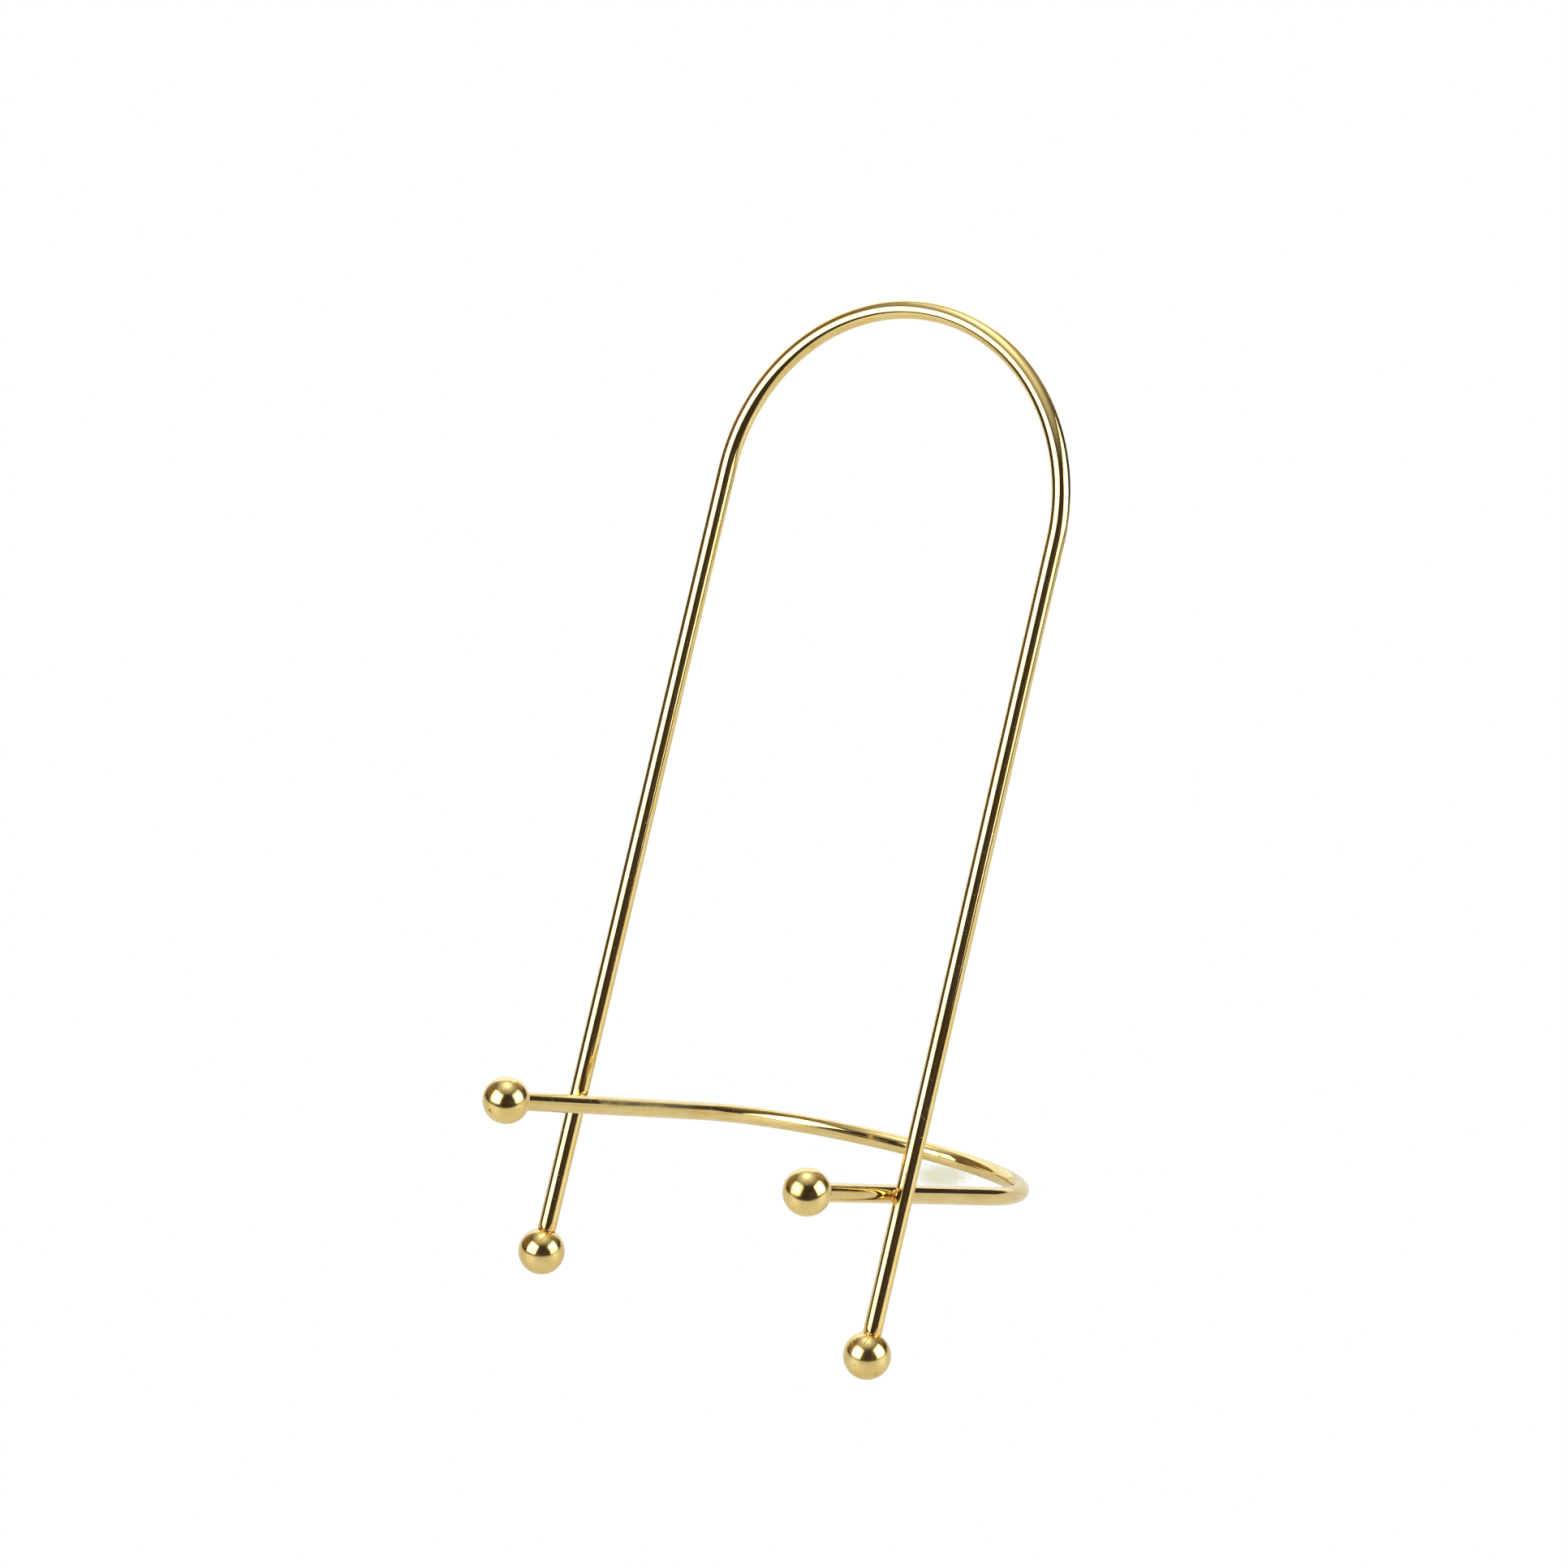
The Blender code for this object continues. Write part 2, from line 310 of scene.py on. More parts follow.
def add_braze(name, centre, direction, material, seed):
    """An uneven ring of braze, part of it sunk in the rod's shoulder and in the ball."""
    bm = bmesh.new()
    bed = math.sqrt(BALL_RADIUS ** 2 - BRAZE_RING_RADIUS ** 2)
    rings = []
    for segment in range(RING_SEGMENTS):
        angle = 2 * math.pi * segment / RING_SEGMENTS
        spoke = Vector((math.cos(angle), math.sin(angle), 0.0))
        swell = noise.noise(spoke * BRAZE_SWELL_RATE + Vector((seed, 0.0, 0.0)))
        ripple = noise.noise(spoke * BRAZE_RIPPLE_RATE + Vector((0.0, seed, 0.0)))
        bead = BRAZE_BEAD_RADIUS * (1.0 + BRAZE_SWELL * swell + BRAZE_RIPPLE * ripple)
        reach = BRAZE_RING_RADIUS + BRAZE_WANDER * ripple
        ring = []
        for side in range(RING_SIDES):
            turn = 2 * math.pi * side / RING_SIDES
            place = spoke * (reach + bead * math.cos(turn))
            place.z = bed + bead * math.sin(turn)
            ring.append(bm.verts.new(place))
        rings.append(ring)
    for segment in range(RING_SEGMENTS):
        here, there = rings[segment], rings[(segment + 1) % RING_SEGMENTS]
        for side in range(RING_SIDES):
            after = (side + 1) % RING_SIDES
            bm.faces.new((here[side], there[side], there[after], here[after]))
    bmesh.ops.transform(bm, matrix=axis_matrix(centre, direction), verts=bm.verts)
    return add_piece(name, bm, material)


# ---------------------------------------------------------------- welds


def distance_from_line(point, origin, direction):
    offset = point - origin
    return (offset - direction * offset.dot(direction)).length


def smooth_union(first, second, width):
    """The smaller of two depths, rounded off where they are within a width of each other."""
    if width <= 0.0:
        return min(first, second)
    overlap = max(width - abs(first - second), 0.0) / width
    return min(first, second) - overlap * overlap * width / 4


def weld_depth(point, leg, prong, centre, seed):
    """Negative inside the weld: both rods, just under their skin, and the metal between them."""
    wobble = noise.noise(point / WELD_RIPPLE + Vector((seed, 0.0, 0.0)))
    distance = (point - centre).length
    near = max(0.0, 1.0 - (distance / WELD_REACH) ** 2)
    to_leg = distance_from_line(point, *leg) - ROD_RADIUS + WELD_SINK
    to_prong = distance_from_line(point, *prong) - ROD_RADIUS + WELD_SINK
    depth = smooth_union(to_leg, to_prong, WELD_FILL * near * (1.0 + WELD_UNEVENNESS * wobble))
    return max(depth, distance - WELD_REACH)


def surface_net(field, corner, cell, count):
    """A closed mesh where a field is zero, with one vertex in each cell that it crosses."""
    depths = {}
    for i in range(count):
        for j in range(count):
            for k in range(count):
                depths[i, j, k] = field(corner + Vector((i, j, k)) * cell)
    axes = ((1, 0, 0), (0, 1, 0), (0, 0, 1))
    crossings = {}
    quads = []
    for (i, j, k), here in depths.items():
        for axis, (a, b, c) in enumerate(axes):
            there = depths.get((i + a, j + b, k + c), here)
            if (here < 0.0) == (there < 0.0):
                continue
            share = here / (here - there)
            point = corner + (Vector((i, j, k)) + Vector((a, b, c)) * share) * cell
            second, third = axes[(axis + 1) % 3], axes[(axis + 2) % 3]
            cells = [
                (
                    i - p * second[0] - q * third[0],
                    j - p * second[1] - q * third[1],
                    k - p * second[2] - q * third[2],
                )
                for p, q in ((0, 0), (1, 0), (1, 1), (0, 1))
            ]
            for key in cells:
                crossings.setdefault(key, []).append(point)
            quads.append(cells)
    bm = bmesh.new()
    verts = {}
    for key, points in crossings.items():
        verts[key] = bm.verts.new(sum(points, Vector()) / len(points))
    for cells in quads:
        bm.faces.new([verts[key] for key in cells])
    return bm


def add_weld(name, word, side, material, seed):
    """Weld metal in the crevices between the rods, around their crossing."""
    centre = middle(name)
    leg = (FOOT_CENTRES[word], leg_direction(side))
    prong = (LEDGE_CENTRES[word], prong_direction(side))
    half = WELD_REACH + WELD_CELL
    count = math.ceil(2 * half / WELD_CELL) + 1
    corner = centre - Vector((half, half, half))

    def field(point):
        return weld_depth(point, leg, prong, centre, seed)

    bm = surface_net(field, corner, WELD_CELL, count)
    for _ in range(WELD_SMOOTHING):
        bmesh.ops.smooth_vert(
            bm, verts=bm.verts, factor=0.5, use_axis_x=True, use_axis_y=True, use_axis_z=True
        )
    return add_piece(name, bm, material)


# ---------------------------------------------------------------- materials

DEEP_GOLD = (0.83, 0.63, 0.24)
PALE_GOLD = (0.87, 0.69, 0.31)
HAZE_GOLD = (0.88, 0.76, 0.48)
STREAK_GOLD = (0.70, 0.52, 0.17)
HEAT_TINT = (0.86, 0.52, 0.18)
PIT_BROWN = (0.20, 0.11, 0.04)
RUST = (0.42, 0.17, 0.03)
TARNISH = (0.72, 0.30, 0.06)
BRIGHT_COPPER = (0.90, 0.46, 0.15)
WELD_GOLD = (0.84, 0.49, 0.09)
BRAZE_SCALE = (0.16, 0.07, 0.02)
WHITE = (1.0, 1.0, 1.0)

# The share of a rod's length that a pattern keeps. A small share draws it out long.
DRAWN_STRETCH = 0.03
PATCH_STRETCH = 0.3

# The satin stretch of the base: where it fades in and out, front to back, how far across it
# reaches, how far round the rod, and how rough it is
SATIN_FRONT = (-32 * MM, -30 * MM)
SATIN_REAR = (-6 * MM, 34 * MM)
SATIN_SIDE = (-34 * MM, -28 * MM)
SATIN_TOP = (-0.35 * ROD_RADIUS, 0.10 * ROD_RADIUS)
SATIN_ROUGHNESS = 0.20

# Heat tint next to a joint on a rod and on a ball: full to the first distance, gone at the
# second, with an edge as ragged as the third
ROD_HEAT = (7.0 * MM, 10.5 * MM, 0.9 * MM)
BALL_HEAT = (2.2 * MM, 4.2 * MM, 0.5 * MM)

# How wide the marks are, and how deep those are that shape the surface
ROD_CLOUD = 9 * MM
ROD_PEEL = 2.2 * MM
ROD_PEEL_DEPTH = 0.010 * MM
ROD_PATCH = 1.3 * MM
ROD_PATCH_DEPTH = 0.003 * MM
LINE_WIDTH = 0.45 * MM
LINE_DEPTH = 0.0012 * MM
FINE_LINE_WIDTH = 0.16 * MM
FINE_LINE_DEPTH = 0.0004 * MM
STREAK_WIDTH = 0.6 * MM
BALL_CLOUD = 5 * MM
BALL_PEEL = 2.4 * MM
BALL_PEEL_DEPTH = 0.012 * MM
BALL_GRAIN = 0.35 * MM
BALL_GRAIN_DEPTH = 0.0020 * MM
JOINT_RIPPLE = 0.9 * MM
JOINT_RIPPLE_DEPTH = 0.006 * MM
JOINT_SCALE = 0.4 * MM
JOINT_SCALE_DEPTH = 0.002 * MM

# Roughness from the brightest to the dullest of each metal, and what dull marks add to it
ROD_ROUGHNESS = (0.05, 0.11)
BALL_ROUGHNESS = (0.12, 0.19)
JOINT_ROUGHNESS = (0.10, 0.22)
PATCH_ROUGHNESS = 0.07
GRAIN_ROUGHNESS = 0.07
OXIDE_ROUGHNESS = 0.3
PIT_ROUGHNESS = 0.3

# Pits: their spacing, their radius, and the share of places that has one, which is each ball's
# own for its larger pits
ROD_PITS = (2.0 * MM, 0.14 * MM, 0.35)
ROD_PINHOLES = (1.0 * MM, 0.08 * MM, 0.5)
BALL_PITS = (2.3 * MM, 0.16 * MM)
BALL_PINHOLES = (0.9 * MM, 0.05 * MM, 0.3)
PIT_DEPTH = 0.03 * MM


class Sheet:
    """The node sheet of a new material or world, being filled in."""

    def __init__(self, owner):
        self.owner = owner
        owner.use_nodes = True
        self.tree = owner.node_tree
        self.tree.nodes.clear()

    def add(self, kind, inputs=None, **settings):
        """Add a node. An input is a plain value, or another node's output to link."""
        node = self.tree.nodes.new(kind)
        for key, value in settings.items():
            setattr(node, key, value)
        for key, value in (inputs or {}).items():
            if isinstance(value, bpy.types.NodeSocket):
                self.tree.links.new(value, node.inputs[key])
            else:
                node.inputs[key].default_value = value
        return node

    def noise(self, vector, size, detail=3.0, distortion=0.0):
        """Noise with features of a size."""
        fields = {
            "Vector": vector, "Scale": 1 / size, "Detail": detail, "Distortion": distortion
        }
        return self.add("ShaderNodeTexNoise", fields).outputs["Fac"]

    def stretched(self, wrap, share):
        """A rod's own coordinates with only a share of its length, to draw patterns out."""
        fields = {0: wrap, 1: (1.0, 1.0, share)}
        return self.add("ShaderNodeVectorMath", fields, operation="MULTIPLY").outputs["Vector"]

    def fade(self, value, start, end, low=0.0, high=1.0):
        """Low before the start and high after the end, with a smooth change between."""
        fields = {
            "Value": value, "From Min": start, "From Max": end, "To Min": low, "To Max": high
        }
        node = self.add("ShaderNodeMapRange", fields, interpolation_type="SMOOTHSTEP")
        return node.outputs["Result"]

    def arithmetic(self, operation, first, second):
        return self.add("ShaderNodeMath", {0: first, 1: second}, operation=operation).outputs[0]

    def sum(self, first, second):
        return self.arithmetic("ADD", first, second)

    def times(self, first, second):
        return self.arithmetic("MULTIPLY", first, second)

    def greatest(self, first, second):
        return self.arithmetic("MAXIMUM", first, second)

    def mix(self, factor, first, second):
        """The first colour where the factor is nothing, and the second where it is one."""
        fields = {"Factor": factor}
        for key, colour in (("A", first), ("B", second)):
            linked = isinstance(colour, bpy.types.NodeSocket)
            fields[key] = colour if linked else (*colour, 1.0)
        return self.add("ShaderNodeMix", fields, data_type="RGBA").outputs["Result"]

    def blend(self, share, first, second):
        """The first shader where the share is nothing, and the second where it is one."""
        fields = {0: share, 1: first.outputs[0], 2: second.outputs[0]}
        return self.add("ShaderNodeMixShader", fields)

    def camera_sees(self, seen, mirrored):
        """One shader to the camera itself, and another to the metal that mirrors it."""
        camera = self.add("ShaderNodeLightPath").outputs["Is Camera Ray"]
        return self.blend(camera, mirrored, seen)

    def place(self):
        """Where a point is, in metres in the easel's own frame."""
        return self.add("ShaderNodeTexCoord").outputs["Object"]

    def near(self, place, centre, core, edge, ragged):
        """One within a distance of a point, fading to nothing at a ragged edge."""
        fields = {0: place, 1: tuple(centre)}
        gap = self.add("ShaderNodeVectorMath", fields, operation="DISTANCE").outputs["Value"]
        uneven = self.noise(place, ragged / 0.6, 4.0)
        gap = self.sum(gap, self.fade(uneven, 0.3, 0.7, -ragged, ragged))
        return self.fade(gap, core, edge, 1.0, 0.0)

    def pits(self, place, spacing, radius, share):
        """Small round pits, in a share of the cells of a random pattern."""
        cells = self.add("ShaderNodeTexVoronoi", {"Vector": place, "Scale": 1.0 / spacing})
        parts = self.add("ShaderNodeSeparateColor", {0: cells.outputs["Color"]})
        chosen = self.fade(parts.outputs[0], 1.0 - share, 1.0 - share + 0.01)
        size = radius / spacing
        dent = self.fade(cells.outputs["Distance"], size * 0.4, size, 1.0, 0.0)
        return self.times(dent, chosen)

    def bump(self, height, depth, normal=None):
        fields = {"Height": height, "Distance": depth}
        if normal is not None:
            fields["Normal"] = normal
        return self.add("ShaderNodeBump", fields).outputs["Normal"]

    def metal(self, colour, roughness, normal):
        fields = {
            "Base Color": colour, "Metallic": 1.0, "Roughness": roughness, "Normal": normal
        }
        return self.finish(self.add("ShaderNodeBsdfPrincipled", fields))

    def finish(self, shader, output="ShaderNodeOutputMaterial"):
        self.add(output, {"Surface": shader.outputs[0]})
        return self.owner


def new_sheet(name):
    return Sheet(bpy.data.materials.new(name))


def satin_stretch(sheet, place, wrap):
    """One on top of the base's left run, behind its crossing, where the plate is rubbed satin."""
    parts = sheet.add("ShaderNodeSeparateXYZ", {0: place}).outputs
    side = sheet.fade(parts["X"], *SATIN_SIDE, 1.0, 0.0)
    front = sheet.fade(parts["Y"], *SATIN_FRONT)
    rear = sheet.fade(parts["Y"], *SATIN_REAR, 1.0, 0.0)
    around_rod = sheet.add("ShaderNodeSeparateXYZ", {0: wrap}).outputs["X"]
    top = sheet.fade(around_rod, *SATIN_TOP)
    return sheet.times(sheet.times(side, top), sheet.times(front, rear))


def plated_rod(name, mottling, joints, satin=False):
    """Bright plate over drawn rod: lines along it, cloudy patches, pits and heat tint at joints."""
    sheet = new_sheet(name)
    place = sheet.place()
    wrap = sheet.add("ShaderNodeAttribute", attribute_name="along_rod").outputs["Vector"]
    drawn = sheet.stretched(wrap, DRAWN_STRETCH)
    lines = sheet.noise(drawn, LINE_WIDTH, 3.0)
    fine_lines = sheet.noise(drawn, FINE_LINE_WIDTH, 2.0)
    cloud = sheet.noise(place, ROD_CLOUD)
    patch = sheet.noise(sheet.stretched(wrap, PATCH_STRETCH), ROD_PATCH, 5.0)
    peel = sheet.noise(place, ROD_PEEL, 2.0)
    dull = sheet.times(sheet.fade(patch, 0.46, 0.66), mottling)
    pit = sheet.greatest(sheet.pits(place, *ROD_PITS), sheet.pits(place, *ROD_PINHOLES))
    colour = sheet.mix(sheet.fade(cloud, 0.35, 0.65), DEEP_GOLD, PALE_GOLD)
    colour = sheet.mix(sheet.times(dull, 0.35), colour, HAZE_GOLD)
    streak = sheet.fade(sheet.noise(drawn, STREAK_WIDTH, 4.0), 0.50, 0.68)
    colour = sheet.mix(sheet.times(streak, 0.15 + 0.40 * mottling), colour, STREAK_GOLD)
    first_joint, second_joint = joints
    heat = sheet.greatest(
        sheet.near(place, first_joint, *ROD_HEAT), sheet.near(place, second_joint, *ROD_HEAT)
    )
    colour = sheet.mix(sheet.times(heat, 0.45), colour, HEAT_TINT)
    colour = sheet.mix(sheet.times(pit, 0.7), colour, PIT_BROWN)
    roughness = sheet.fade(lines, 0.3, 0.7, *ROD_ROUGHNESS)
    roughness = sheet.sum(roughness, sheet.times(dull, PATCH_ROUGHNESS))
    roughness = sheet.sum(roughness, sheet.times(pit, PIT_ROUGHNESS))
    if satin:
        rubbed = satin_stretch(sheet, place, wrap)
        roughness = sheet.sum(roughness, sheet.times(rubbed, SATIN_ROUGHNESS))
    normal = sheet.bump(peel, ROD_PEEL_DEPTH)
    normal = sheet.bump(lines, LINE_DEPTH, normal)
    normal = sheet.bump(fine_lines, FINE_LINE_DEPTH, normal)
    normal = sheet.bump(sheet.times(patch, mottling), ROD_PATCH_DEPTH, normal)
    normal = sheet.bump(sheet.times(pit, -1.0), PIT_DEPTH, normal)
    return sheet.metal(colour, roughness, normal)


def plated_ball(name, joint, stains, pitting):
    """Bright plate over a turned ball, with a faint wobble, pits, heat tint and a few stains."""
    sheet = new_sheet(name)
    place = sheet.place()
    cloud = sheet.noise(place, BALL_CLOUD)
    peel = sheet.noise(place, BALL_PEEL, 2.0)
    grain = sheet.noise(place, BALL_GRAIN)
    pit = sheet.greatest(
        sheet.pits(place, *BALL_PITS, pitting), sheet.pits(place, *BALL_PINHOLES)
    )
    colour = sheet.mix(sheet.fade(cloud, 0.35, 0.65), DEEP_GOLD, PALE_GOLD)
    heat = sheet.near(place, joint, *BALL_HEAT)
    colour = sheet.mix(sheet.times(heat, 0.5), colour, HEAT_TINT)
    roughness = sheet.fade(cloud, 0.35, 0.65, *BALL_ROUGHNESS)
    roughness = sheet.sum(roughness, sheet.fade(grain, 0.4, 0.75, 0.0, GRAIN_ROUGHNESS))
    for spot, core, edge, tint, strength, dulling in stains:
        mask = sheet.near(place, spot, core, edge, (edge - core) * 0.35)
        colour = sheet.mix(sheet.times(mask, strength), colour, tint)
        roughness = sheet.sum(roughness, sheet.times(mask, dulling))
    colour = sheet.mix(sheet.times(pit, 0.75), colour, PIT_BROWN)
    roughness = sheet.sum(roughness, sheet.times(pit, PIT_ROUGHNESS))
    normal = sheet.bump(peel, BALL_PEEL_DEPTH)
    normal = sheet.bump(grain, BALL_GRAIN_DEPTH, normal)
    normal = sheet.bump(sheet.times(pit, -1.0), PIT_DEPTH, normal)
    return sheet.metal(colour, roughness, normal)


def joint_metal(name, bright, dark, darkness):
    """Copper-coloured braze or weld: ripples, scale in the hollows and dull oxide patches."""
    sheet = new_sheet(name)
    place = sheet.place()
    ripple = sheet.noise(place, JOINT_RIPPLE, 3.0, 0.6)
    scale = sheet.noise(place, JOINT_SCALE, 5.0)
    oxide = sheet.fade(scale, 0.58 - 0.3 * darkness, 0.78 - 0.3 * darkness)
    colour = sheet.mix(sheet.fade(ripple, 0.35, 0.65), bright, HEAT_TINT)
    colour = sheet.mix(oxide, colour, dark)
    roughness = sheet.fade(ripple, 0.3, 0.7, *JOINT_ROUGHNESS)
    roughness = sheet.sum(roughness, sheet.times(oxide, OXIDE_ROUGHNESS))
    normal = sheet.bump(ripple, JOINT_RIPPLE_DEPTH)
    normal = sheet.bump(scale, JOINT_SCALE_DEPTH, normal)
    return sheet.metal(colour, roughness, normal)


# ---------------------------------------------------------------- camera and studio

CAMERA_AZIMUTH = math.radians(35.019)
CAMERA_ELEVATION = math.radians(21.716)
CAMERA_DISTANCE = 1500.2 * MM
CAMERA_TARGET = Vector((6.132, -17.842, 147.746)) * MM
SENSOR_WIDTH = 36.0
LENS = 131.01


def around(azimuth, elevation):
    """The direction at an angle round from the camera's side of the easel, in degrees."""
    turn = CAMERA_AZIMUTH + math.radians(azimuth)
    rise = math.radians(elevation)
    return Vector((
        math.sin(turn) * math.cos(rise), -math.cos(turn) * math.cos(rise), math.sin(rise)
    ))


def add_camera():
    lens = bpy.data.cameras.new("camera")
    lens.sensor_width = SENSOR_WIDTH
    lens.lens = LENS
    camera = bpy.data.objects.new("camera", lens)
    bpy.context.collection.objects.link(camera)
    back = around(0.0, math.degrees(CAMERA_ELEVATION))
    camera.location = CAMERA_TARGET + back * CAMERA_DISTANCE
    camera.rotation_euler = (-back).to_track_quat("-Z", "Y").to_euler()
    bpy.context.scene.camera = camera


# The shooting table: a white sheet, cut off in front, that sweeps up behind the easel.
# Lengths in metres run towards the camera and to its right, from under the easel's middle.
TABLE_FRONT = 0.285
TABLE_HALF_WIDTH = 0.65
SWEEP_START = -0.32
SWEEP_LEFT = -0.51
SWEEP_RIGHT = 0.36
SWEEP_RADIUS = 0.25
SWEEP_TOP = 0.60
SWEEP_TAPER = 0.35
SWEEP_STEPS = 24
SWEEP_GLOW = (0.35, 0.80)
SWEEP_GLOW_HEIGHTS = (0.05, 0.45)
SHEET_COLOUR = (0.76, 0.79, 0.80)
SHEET_ROUGHNESS = 0.3
TABLE_GLOW_SHARE = 0.5
TABLE_GLOW_COLOUR = (0.79, 0.75, 0.66)

# The ground beside the table: its near and far edges on each side, and its colours
BENCH_HEIGHT = -0.06
BENCH_REAR = -0.9
BENCH_FRONT = 0.45
BENCH_EDGES = {"left": (-0.75, -1.5), "right": (0.75, 1.5)}
BENCH_GLOW = 0.33
BENCH_ROUGHNESS = 0.5
BENCH_COLOURS = {"left": (0.10, 0.07, 0.05), "right": (0.45, 0.43, 0.40)}

# The faint shade on the table inside the rear of the loop, which only the camera sees: its
# middle, its solid and faded radius with how ragged they are, and its colour
LOOP_SHADE_CENTRE = Vector((2.5, 65.7, 0.0)) * MM
LOOP_SHADE_FADE = (3.0 * MM, 10.5 * MM, 1.0 * MM)
LOOP_SHADE_COLOUR = (0.78, 0.76, 0.58)

TOWARDS_CAMERA = Vector((math.sin(CAMERA_AZIMUTH), -math.cos(CAMERA_AZIMUTH), 0.0))
RIGHTWARDS = Vector((math.cos(CAMERA_AZIMUTH), math.sin(CAMERA_AZIMUTH), 0.0))


def studio_point(towards, right, height):
    return TOWARDS_CAMERA * towards + RIGHTWARDS * right + Vector((0.0, 0.0, height))


def add_stage_mesh(name, points, faces, material):
    mesh = bpy.data.meshes.new(name)
    mesh.from_pydata([tuple(point) for point in points], [], faces)
    mesh.materials.append(material)
    mesh.shade_smooth()
    thing = bpy.data.objects.new(name, mesh)
    bpy.context.collection.objects.link(thing)
    return thing


def white_sheet(name, low_glow, high_glow, even_share=0.0):
    """Semi-gloss white acrylic, lit through from behind, more so higher up.

    even_share is the part of its light that is the same all over, as on a light table.
    The camera sees it as plain white, as in a burnt-out photo, but for a painted shade inside the
    rear of the loop, tinted gold as by painted light that the rod throws back.
    """
    sheet = new_sheet(name)
    sheet.owner.cycles.emission_sampling = "AUTO" if high_glow else "NONE"
    height = sheet.add("ShaderNodeSeparateXYZ", {0: sheet.place()}).outputs["Z"]
    back_glow = sheet.fade(height, *SWEEP_GLOW_HEIGHTS, low_glow, high_glow)
    acrylic = sheet.add("ShaderNodeBsdfPrincipled", {
        "Base Color": (*SHEET_COLOUR, 1.0), "Roughness": SHEET_ROUGHNESS,
        "Emission Color": (*SHEET_COLOUR, 1.0), "Emission Strength": back_glow,
    })
    even = sheet.add("ShaderNodeEmission", {"Color": (*TABLE_GLOW_COLOUR, 1.0)})
    # Painted shade on the table inside the rear of the loop, with a painted gold tint of reflected
    # light; only the camera sees it
    mask = sheet.near(sheet.place(), LOOP_SHADE_CENTRE, *LOOP_SHADE_FADE)
    white_with_painted_shade = sheet.mix(mask, WHITE, LOOP_SHADE_COLOUR)
    white = sheet.add("ShaderNodeEmission", {"Color": white_with_painted_shade})
    return sheet.finish(sheet.camera_sees(white, sheet.blend(even_share, acrylic, even)))


def bench_material(name, colour):
    sheet = new_sheet(name)
    ground = sheet.add("ShaderNodeBsdfPrincipled", {
        "Base Color": (*colour, 1.0), "Roughness": BENCH_ROUGHNESS,
        "Emission Color": (*colour, 1.0), "Emission Strength": BENCH_GLOW,
    })
    return sheet.finish(ground)


def level_corners(rear, front, inner, outer, height):
    """The corners of a level rectangle in the studio."""
    spots = ((rear, inner), (front, inner), (front, outer), (rear, outer))
    return [studio_point(towards, right, height) for towards, right in spots]


def add_floor():
    """The flat part of the table, which is the floor that shows."""
    corners = level_corners(SWEEP_START, TABLE_FRONT, -TABLE_HALF_WIDTH, TABLE_HALF_WIDTH, 0.0)
    table = white_sheet("white_table", 0.0, 0.0, TABLE_GLOW_SHARE)
    add_stage_mesh("floor", corners, [(0, 1, 2, 3)], table)


def add_sweep():
    """The part that curves up behind the easel, narrower higher up. It only lights the easel."""
    outline = []
    for step in range(SWEEP_STEPS + 1):
        turn = math.radians(90) * step / SWEEP_STEPS
        towards = SWEEP_START - SWEEP_RADIUS * math.sin(turn)
        outline.append((towards, SWEEP_RADIUS * (1 - math.cos(turn))))
    outline.append((outline[-1][0], SWEEP_TOP))
    points = [
        studio_point(towards, right * (1 - SWEEP_TAPER * height / SWEEP_TOP), height)
        for towards, height in outline
        for right in (SWEEP_LEFT, SWEEP_RIGHT)
    ]
    faces = [(i, i + 1, i + 3, i + 2) for i in range(0, len(points) - 2, 2)]
    sweep = add_stage_mesh("sweep", points, faces, white_sheet("lit_sweep", *SWEEP_GLOW))
    sweep.visible_camera = False


def add_benches():
    """The ground beside the table, which only the metal shows."""
    for word, (inner, outer) in BENCH_EDGES.items():
        corners = level_corners(BENCH_REAR, BENCH_FRONT, inner, outer, BENCH_HEIGHT)
        material = bench_material("bench_" + word, BENCH_COLOURS[word])
        bench = add_stage_mesh("bench_" + word, corners, [(0, 1, 2, 3)], material)
        bench.visible_camera = False


# Each panel: its azimuth and elevation in degrees, its distance, width and height in metres,
# its colour, how it glows in the middle and at the edge, and whether its edge melts away
STUDIO_CENTRE = Vector((0.0, 0.0, 0.05))
PANELS = {
    "softbox_left": (-56, 28, 1.0, 0.94, 0.87, WHITE, 6.0, 2.3, False),
    "softbox_right": (72, 24, 1.0, 0.94, 0.84, WHITE, 6.0, 2.3, False),
    "overhead": (180, 77, 1.0, 0.64, 0.84, (1.0, 0.99, 0.97), 2.6, 0.95, False),
    "ceiling": (180, 84.5, 1.07, 2.40, 2.40, (1.0, 0.97, 0.90), 0.95, 0.95, True),
}


def glow_material(name, colour, centre, edge, melting):
    """A soft panel, brightest in the middle. A melting one fades into the room behind it."""
    sheet = new_sheet(name)
    reach = sheet.add("ShaderNodeVectorMath", {0: sheet.place()}, operation="LENGTH")
    strength = sheet.fade(reach.outputs["Value"], 0.0, 1.0, centre, edge)
    glow = sheet.add("ShaderNodeEmission", {"Color": (*colour, 1.0), "Strength": strength})
    if not melting:
        return sheet.finish(glow)
    melt = sheet.fade(reach.outputs["Value"], 0.0, 1.0)
    return sheet.finish(sheet.blend(melt, glow, sheet.add("ShaderNodeBsdfTransparent")))


def add_panel(name, azimuth, elevation, distance, width, height, *glow):
    """A glowing panel that faces the easel, which mirrors it. The camera doesn't see it."""
    corners = [(-1, -1, 0), (1, -1, 0), (1, 1, 0), (-1, 1, 0)]
    panel = add_stage_mesh(name, corners, [(0, 1, 2, 3)], glow_material(name, *glow))
    direction = around(azimuth, elevation)
    panel.location = STUDIO_CENTRE + direction * distance
    panel.rotation_mode = "QUATERNION"
    panel.rotation_quaternion = (-direction).to_track_quat("Z", "Y")
    panel.scale = (width / 2, height / 2, 1.0)
    panel.visible_camera = False


ROOM_COLOUR = (0.046, 0.036, 0.034)

